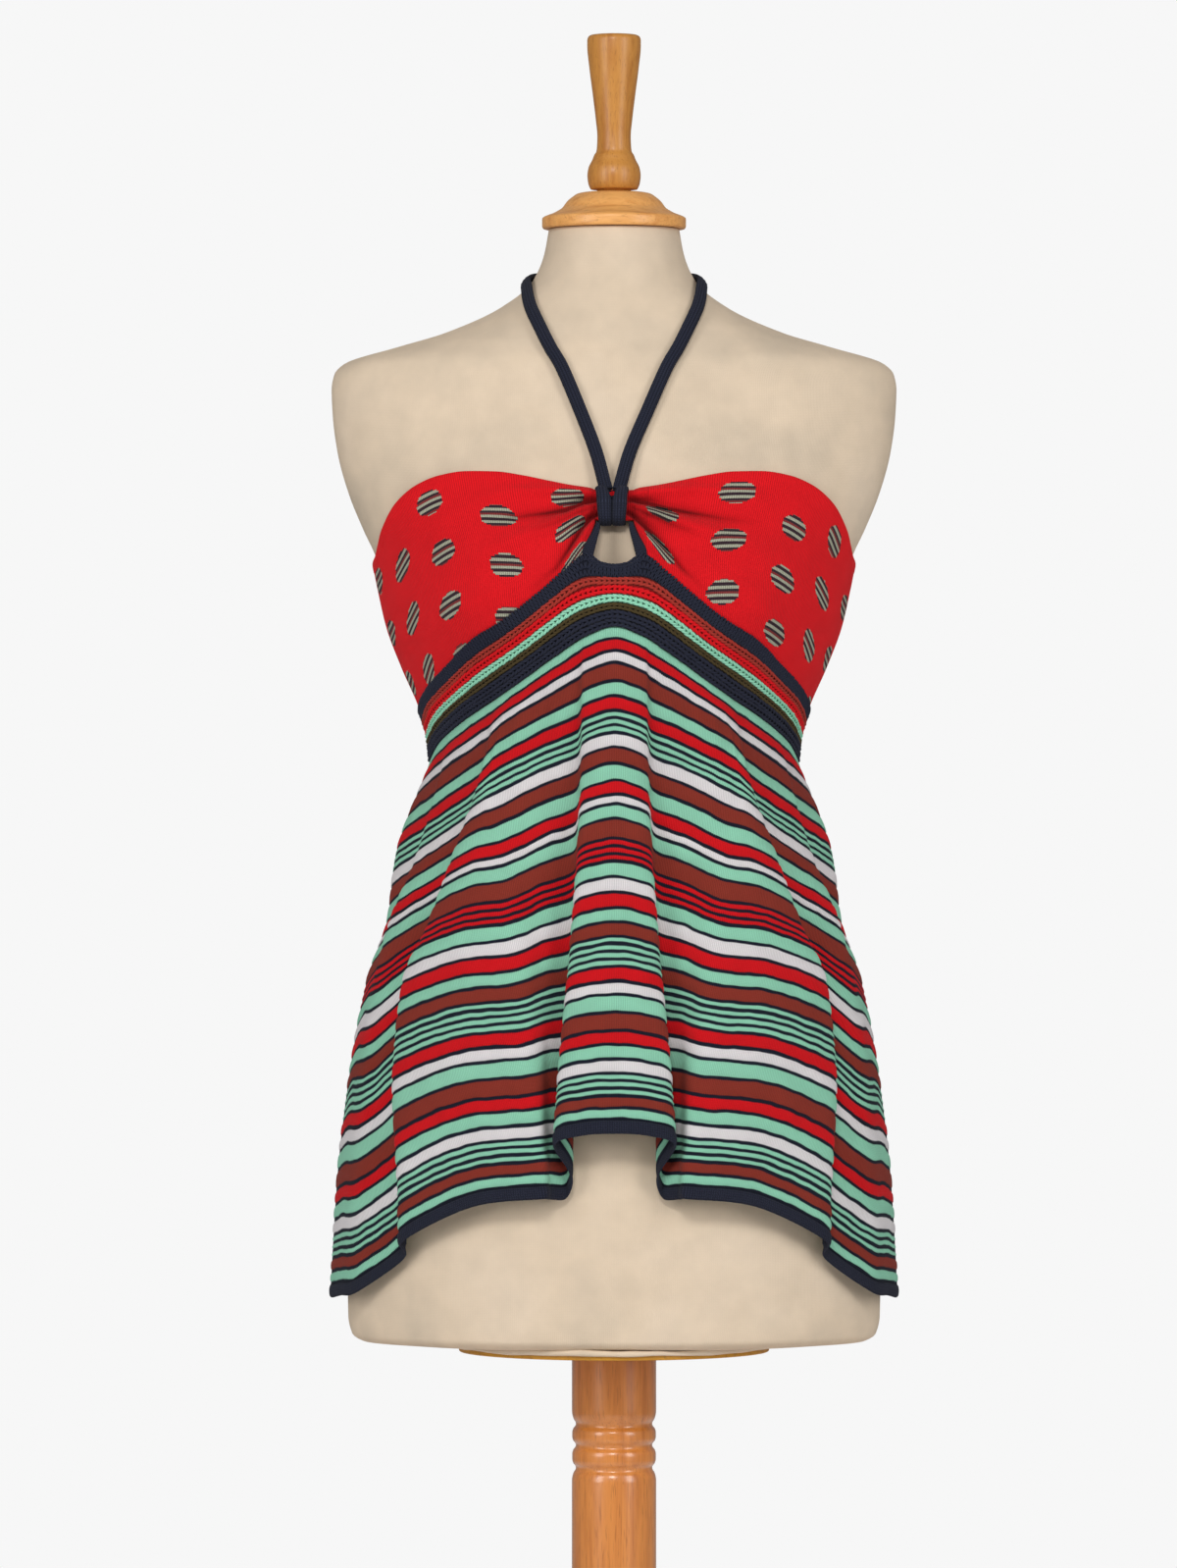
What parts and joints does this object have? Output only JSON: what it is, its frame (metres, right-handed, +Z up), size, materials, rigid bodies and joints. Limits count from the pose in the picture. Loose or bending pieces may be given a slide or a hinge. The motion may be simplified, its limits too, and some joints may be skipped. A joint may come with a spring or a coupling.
{
  "type": "knit halter top on a dress form",
  "caption": "Empire-line knit halter top with a gathered red bust, crocheted under-bust band and flared striped skirt, worn on a limbless dress form on a turned wooden stand.",
  "frame": {"origin": "middle of the underside of the stand's round foot, on the floor", "axes": "+Z up along the pole, -Y towards the front of the garment, +X to the right of someone who looks at its front"},
  "size_m": [0.4, 0.4, 1.4578],
  "materials": {
    "cream_jersey": "matt cream cotton jersey stretched over the form",
    "varnished_beech": "turned beech under a satin amber varnish",
    "red_knit": "fine red rib-like jersey with ribbed spots",
    "navy_knit": "thick navy knit and crochet edging, banded in colour under the bust",
    "striped_knit": "fine jersey in mint, red, white, rust and navy stripes"
  },
  "bodies": {
    "root": {"bust_front": "red_knit", "bust_back": "red_knit", "keyhole_trim_left": "navy_knit", "keyhole_trim_right": "navy_knit", "centre_loop": "navy_knit", "neck_strap": "navy_knit", "underbust_band_front": "navy_knit", "underbust_band_back": "navy_knit", "skirt_front": "striped_knit", "skirt_back": "striped_knit", "hem_trim_front": "navy_knit", "hem_trim_back": "navy_knit", "form_torso": "cream_jersey", "form_underboard": "varnished_beech", "neck_cap": "varnished_beech", "neck_finial": "varnished_beech", "stand_pole": "varnished_beech", "stand_foot": "varnished_beech"}
  },
  "joints": []
}
